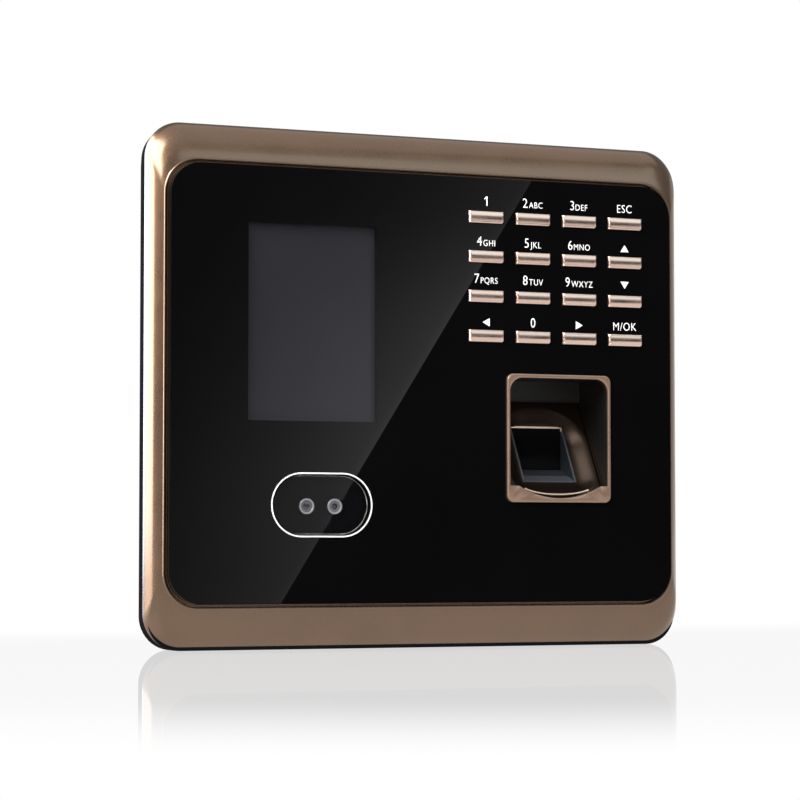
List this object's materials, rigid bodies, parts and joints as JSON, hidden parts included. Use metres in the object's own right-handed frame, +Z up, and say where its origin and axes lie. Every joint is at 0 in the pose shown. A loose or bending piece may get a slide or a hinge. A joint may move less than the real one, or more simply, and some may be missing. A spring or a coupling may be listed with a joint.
{
  "type": "fingerprint and face access terminal",
  "caption": "Wall terminal with a finger reader bay, keypad, display and camera pair in a bronze bezel, on a hook-on steel plate.",
  "frame": {"origin": "centre of the terminal's footprint at its bottom face", "axes": "+X right seen from the front, +Y to the rear (the front faces -Y), +Z up"},
  "size_m": [0.1676, 0.0322, 0.1488],
  "materials": {
    "adhesive": "foam adhesive",
    "bay_black": "dark moulded plastic",
    "board_green": "green circuit board",
    "bright_steel": "plated sheet steel",
    "bronze_dark": "satin dark bronze paint",
    "bronze_paint": "satin bronze paint with fine metal flake",
    "camera_glass": "dark tinted window",
    "charcoal_plastic": "charcoal moulded plastic",
    "chip_black": "moulded chip bodies",
    "clear_window": "clear hard-coated window",
    "dark_plastic": "black moulded plastic",
    "display_dark": "unlit display with matt polariser",
    "key_metal": "rose gold anodised bar",
    "led_clear": "clear lamp body",
    "lens_glass": "coated lens",
    "mat_rubber": "silicone rubber",
    "panel_black": "high gloss black panel",
    "plate_steel": "galvanised sheet steel",
    "prism_glass": "polished optical glass",
    "red_plastic": "red moulded plastic",
    "ribbon_amber": "amber flexible cable",
    "ring_silver": "bright silver trim",
    "rose_metal": "rose gold anodised",
    "screw_steel": "zinc plated steel",
    "shell_black": "gloss black moulded shell",
    "terminal_green": "green connector plastic",
    "white_plastic": "white moulded plastic"
  },
  "bodies": {
    "terminal": {"front_bezel": "bronze_paint", "panel_adhesive": "adhesive", "front_panel": "panel_black", "display_window": "clear_window", "display_frame": "bright_steel", "display_glass": "display_dark", "backlight": "white_plastic", "camera_window": "camera_glass", "camera_ring": "ring_silver", "camera_lens_left": "lens_glass", "camera_lens_right": "lens_glass", "camera_barrels": "dark_plastic", "camera_board": "board_green", "infrared_leds": "led_clear", "finger_bay_frame": "bronze_paint", "bay_housing": "bay_black", "finger_cradle": "bronze_dark", "sensor_housing": "charcoal_plastic", "sensor_prism": "prism_glass", "sensor_trim": "rose_metal", "sensor_board": "board_green", "key_mat": "mat_rubber", "key_board": "board_green", "main_board": "board_green", "board_chips": "chip_black", "cell_holder": "dark_plastic", "clock_cell": "bright_steel", "speaker": "dark_plastic", "network_socket": "bright_steel", "power_socket": "dark_plastic", "terminal_block": "terminal_green", "usb_socket": "bright_steel", "reset_switch": "dark_plastic", "tamper_switch": "dark_plastic", "rear_housing": "shell_black", "housing_screws": "screw_steel", "board_screws": "screw_steel", "display_ribbon": "ribbon_amber", "sensor_ribbon": "ribbon_amber"},
    "key_1_body": {"key_1": "key_metal"},
    "key_2_body": {"key_2": "key_metal"},
    "key_3_body": {"key_3": "key_metal"},
    "key_esc_body": {"key_esc": "key_metal"},
    "key_4_body": {"key_4": "key_metal"},
    "key_5_body": {"key_5": "key_metal"},
    "key_6_body": {"key_6": "key_metal"},
    "key_up_body": {"key_up": "key_metal"},
    "key_7_body": {"key_7": "key_metal"},
    "key_8_body": {"key_8": "key_metal"},
    "key_9_body": {"key_9": "key_metal"},
    "key_down_body": {"key_down": "key_metal"},
    "key_left_body": {"key_left": "key_metal"},
    "key_0_body": {"key_0": "key_metal"},
    "key_right_body": {"key_right": "key_metal"},
    "key_ok_body": {"key_ok": "key_metal"},
    "reset_body": {"reset_button": "red_plastic"},
    "tamper_body": {"tamper_plunger": "white_plastic"},
    "wall_plate_body": {"wall_plate": "plate_steel", "lock_screw": "screw_steel"}
  },
  "joints": [
    {"name": "key_1_press", "type": "slide", "parent": "terminal", "child": "key_1_body", "axis": [0, 1, 0], "range_m": [0, 0.0008], "stiffness_N_per_m": 1000},
    {"name": "key_2_press", "type": "slide", "parent": "terminal", "child": "key_2_body", "axis": [0, 1, 0], "range_m": [0, 0.0008], "stiffness_N_per_m": 1000},
    {"name": "key_3_press", "type": "slide", "parent": "terminal", "child": "key_3_body", "axis": [0, 1, 0], "range_m": [0, 0.0008], "stiffness_N_per_m": 1000},
    {"name": "key_esc_press", "type": "slide", "parent": "terminal", "child": "key_esc_body", "axis": [0, 1, 0], "range_m": [0, 0.0008], "stiffness_N_per_m": 1000},
    {"name": "key_4_press", "type": "slide", "parent": "terminal", "child": "key_4_body", "axis": [0, 1, 0], "range_m": [0, 0.0008], "stiffness_N_per_m": 1000},
    {"name": "key_5_press", "type": "slide", "parent": "terminal", "child": "key_5_body", "axis": [0, 1, 0], "range_m": [0, 0.0008], "stiffness_N_per_m": 1000},
    {"name": "key_6_press", "type": "slide", "parent": "terminal", "child": "key_6_body", "axis": [0, 1, 0], "range_m": [0, 0.0008], "stiffness_N_per_m": 1000},
    {"name": "key_up_press", "type": "slide", "parent": "terminal", "child": "key_up_body", "axis": [0, 1, 0], "range_m": [0, 0.0008], "stiffness_N_per_m": 1000},
    {"name": "key_7_press", "type": "slide", "parent": "terminal", "child": "key_7_body", "axis": [0, 1, 0], "range_m": [0, 0.0008], "stiffness_N_per_m": 1000},
    {"name": "key_8_press", "type": "slide", "parent": "terminal", "child": "key_8_body", "axis": [0, 1, 0], "range_m": [0, 0.0008], "stiffness_N_per_m": 1000},
    {"name": "key_9_press", "type": "slide", "parent": "terminal", "child": "key_9_body", "axis": [0, 1, 0], "range_m": [0, 0.0008], "stiffness_N_per_m": 1000},
    {"name": "key_down_press", "type": "slide", "parent": "terminal", "child": "key_down_body", "axis": [0, 1, 0], "range_m": [0, 0.0008], "stiffness_N_per_m": 1000},
    {"name": "key_left_press", "type": "slide", "parent": "terminal", "child": "key_left_body", "axis": [0, 1, 0], "range_m": [0, 0.0008], "stiffness_N_per_m": 1000},
    {"name": "key_0_press", "type": "slide", "parent": "terminal", "child": "key_0_body", "axis": [0, 1, 0], "range_m": [0, 0.0008], "stiffness_N_per_m": 1000},
    {"name": "key_right_press", "type": "slide", "parent": "terminal", "child": "key_right_body", "axis": [0, 1, 0], "range_m": [0, 0.0008], "stiffness_N_per_m": 1000},
    {"name": "key_ok_press", "type": "slide", "parent": "terminal", "child": "key_ok_body", "axis": [0, 1, 0], "range_m": [0, 0.0008], "stiffness_N_per_m": 1000},
    {"name": "reset_press", "type": "slide", "parent": "terminal", "child": "reset_body", "axis": [0, -1, 0], "range_m": [0, 0.0004], "stiffness_N_per_m": 1500},
    {"name": "tamper_press", "type": "slide", "parent": "terminal", "child": "tamper_body", "axis": [0, -1, 0], "range_m": [0, 0.0009], "stiffness_N_per_m": 600},
    {"name": "plate_release", "type": "slide", "parent": "terminal", "child": "wall_plate_body", "axis": [0, 0, -1], "range_m": [0, 0.0055]}
  ]
}
